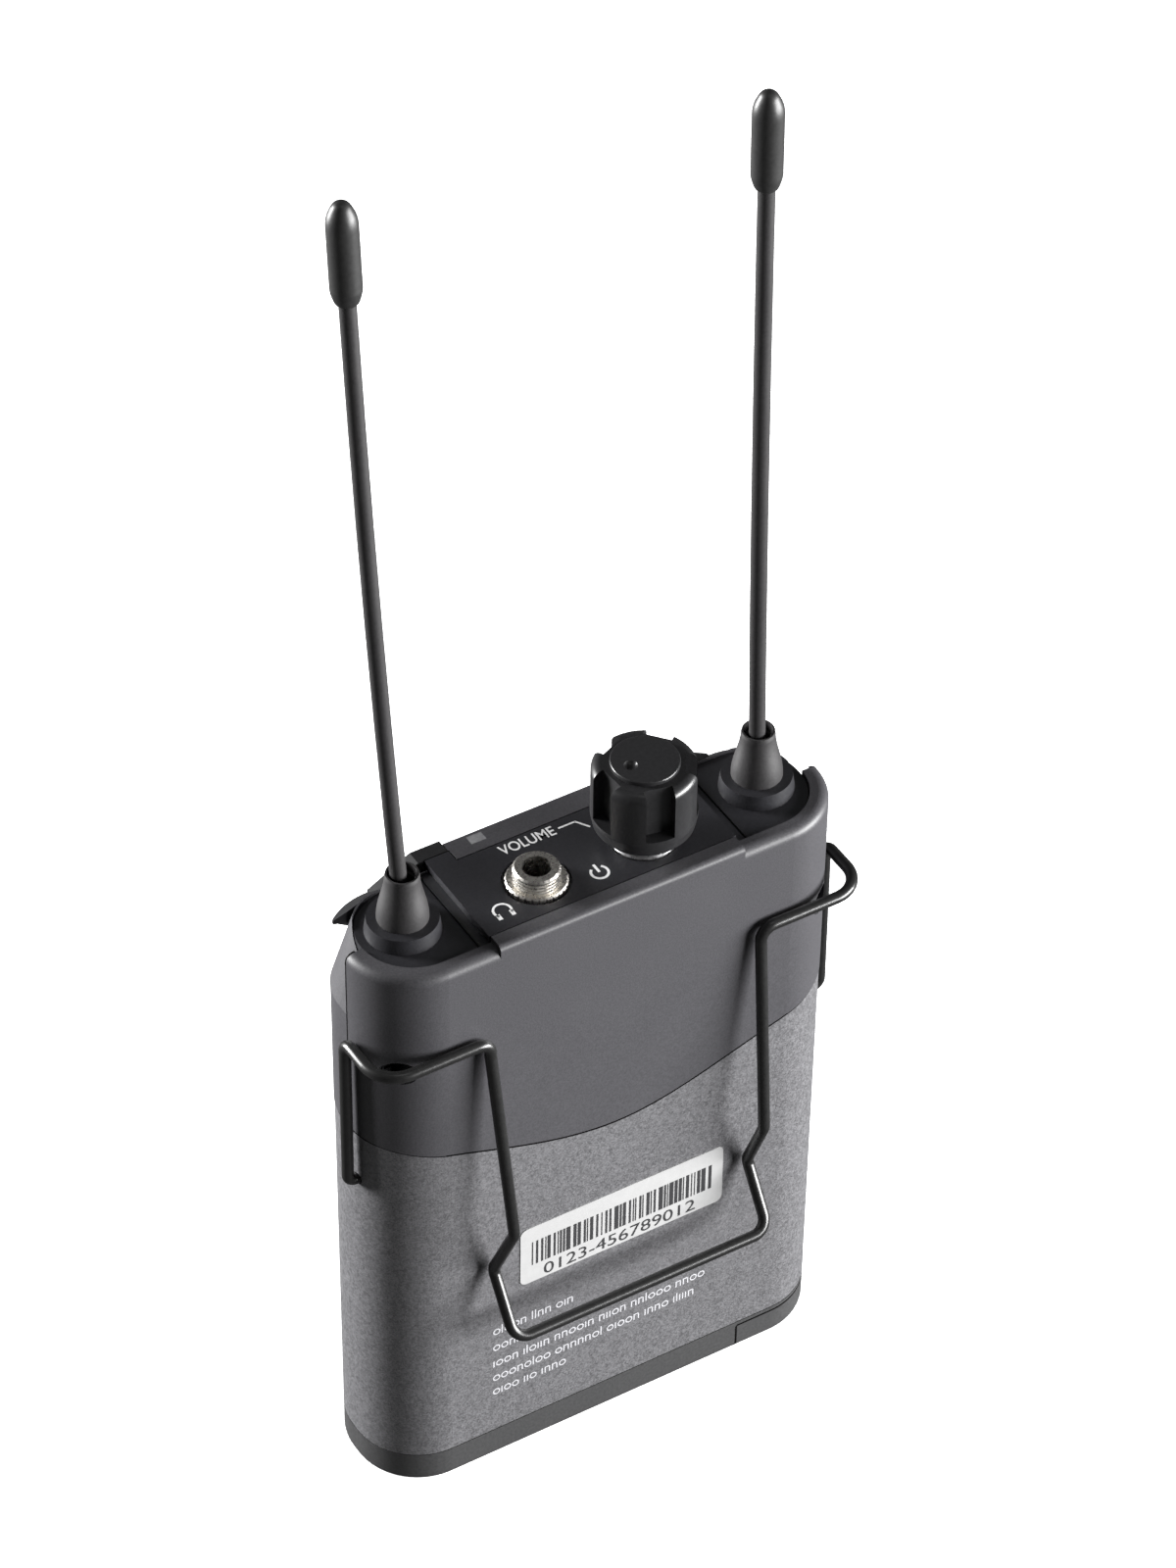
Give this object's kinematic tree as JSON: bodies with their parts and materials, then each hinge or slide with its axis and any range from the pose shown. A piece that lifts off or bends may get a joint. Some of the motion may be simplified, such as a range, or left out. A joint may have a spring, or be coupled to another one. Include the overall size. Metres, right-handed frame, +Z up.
{
  "type": "wireless in-ear body-pack receiver",
  "caption": "Slim belt-pack wireless receiver with upright whip antennas, a headphone socket, a volume knob, a wire belt clip, a display and a hinged battery door.",
  "frame": {"origin": "centre of the flat base, on the surface the pack stands on", "axes": "+Z up along the case and the antennas, +X along the wide way with the volume knob on the +X side, -Y out of the back where the belt clip is, +Y out of the display side"},
  "size_m": [0.071, 0.0274, 0.1997],
  "materials": {
    "case_plastic": "fine matte texture",
    "case_paint": "dark metallic with a fine sparkle",
    "band_plastic": "smooth satin",
    "knob_plastic": "glossy",
    "antenna_rubber": "matte",
    "tip_rubber": "satin",
    "nickel": "bright nickel",
    "zinc": "satin",
    "brass": "turned",
    "clip_wire": "satin black coat",
    "black_steel": "black oxide",
    "label_white": "matte film",
    "window_smoke": "smoked",
    "lens_dark": "polished",
    "board_green": "solder mask",
    "chip_black": "moulded",
    "module_white": "moulded",
    "cell_skin": "plain printed sleeve",
    "tray_plastic": "moulded",
    "button_rubber": "matte",
    "led_lens": "clear"
  },
  "bodies": {
    "housing": {"bottom_cap": "band_plastic", "port_pivot": "zinc", "usb_socket": "zinc", "charge_board": "board_green", "lower_housing": "case_paint", "door_pin": "zinc", "battery_tray": "tray_plastic", "contact_plates": "nickel", "battery_left": "cell_skin", "battery_right": "cell_skin", "contact_spring_left": "nickel", "contact_spring_right": "nickel", "upper_back_cover": "case_plastic", "upper_front_cover": "case_plastic", "display_bezel": "knob_plastic", "display_lens": "lens_dark", "lcd_module": "module_white", "lcd_glass": "lens_dark", "top_cap": "case_plastic", "led_window": "window_smoke", "status_led": "led_lens", "jack_ferrule": "nickel", "jack_nut": "nickel", "jack_body": "tray_plastic", "jack_contacts": "nickel", "pot_body": "zinc", "pot_bushing": "zinc", "pot_nut": "zinc", "antenna_whip_left": "antenna_rubber", "antenna_whip_right": "antenna_rubber", "antenna_tip_left": "tip_rubber", "antenna_tip_right": "tip_rubber", "antenna_collar_left": "antenna_rubber", "antenna_collar_right": "antenna_rubber", "antenna_boot_left": "antenna_rubber", "antenna_boot_right": "antenna_rubber", "antenna_socket_left": "brass", "antenna_socket_right": "brass", "belt_clip_arm_left": "clip_wire", "belt_clip_arm_right": "clip_wire", "main_board": "board_green", "control_board": "board_green", "rf_shield": "zinc", "audio_chip": "chip_black", "tact_switches": "chip_black", "case_screws": "black_steel", "foot_screws": "black_steel", "barcode_label": "label_white"},
    "volume_control": {"volume_knob": "knob_plastic", "knob_disc": "knob_plastic", "pot_shaft": "zinc"},
    "battery_door": {"battery_door": "case_paint"},
    "port_cover": {"port_cover": "band_plastic"},
    "belt_clip": {"belt_clip_spring": "clip_wire"},
    "set_button": {"set_button": "button_rubber"},
    "down_button": {"down_button": "button_rubber"},
    "up_button": {"up_button": "button_rubber"}
  },
  "joints": [
    {"name": "volume_turn", "type": "hinge", "parent": "housing", "child": "volume_control", "pos_m": [0.00765, -0.00195, 0.098], "axis": [0, 0, -1], "range_deg": [0, 300]},
    {"name": "battery_door_hinge", "type": "hinge", "parent": "housing", "child": "battery_door", "pos_m": [0, 0.00835, 0.0096], "axis": [-1, 0, 0], "range_deg": [0, 95]},
    {"name": "port_cover_hinge", "type": "hinge", "parent": "housing", "child": "port_cover", "pos_m": [0.03225, -0.00175, 0.002], "axis": [0, 0, 1], "range_deg": [0, 95]},
    {"name": "belt_clip_flex", "type": "hinge", "parent": "housing", "child": "belt_clip", "pos_m": [0, -0.0111, 0.0754], "axis": [-1, 0, 0], "range_deg": [0, 6], "stiffness_Nm_per_rad": 0.25},
    {"name": "set_button_press", "type": "slide", "parent": "housing", "child": "set_button", "axis": [0, -1, 0], "range_m": [0, 0.0005], "stiffness_N_per_m": 200},
    {"name": "down_button_press", "type": "slide", "parent": "housing", "child": "down_button", "axis": [0, -1, 0], "range_m": [0, 0.0005], "stiffness_N_per_m": 200},
    {"name": "up_button_press", "type": "slide", "parent": "housing", "child": "up_button", "axis": [0, -1, 0], "range_m": [0, 0.0005], "stiffness_N_per_m": 200}
  ]
}
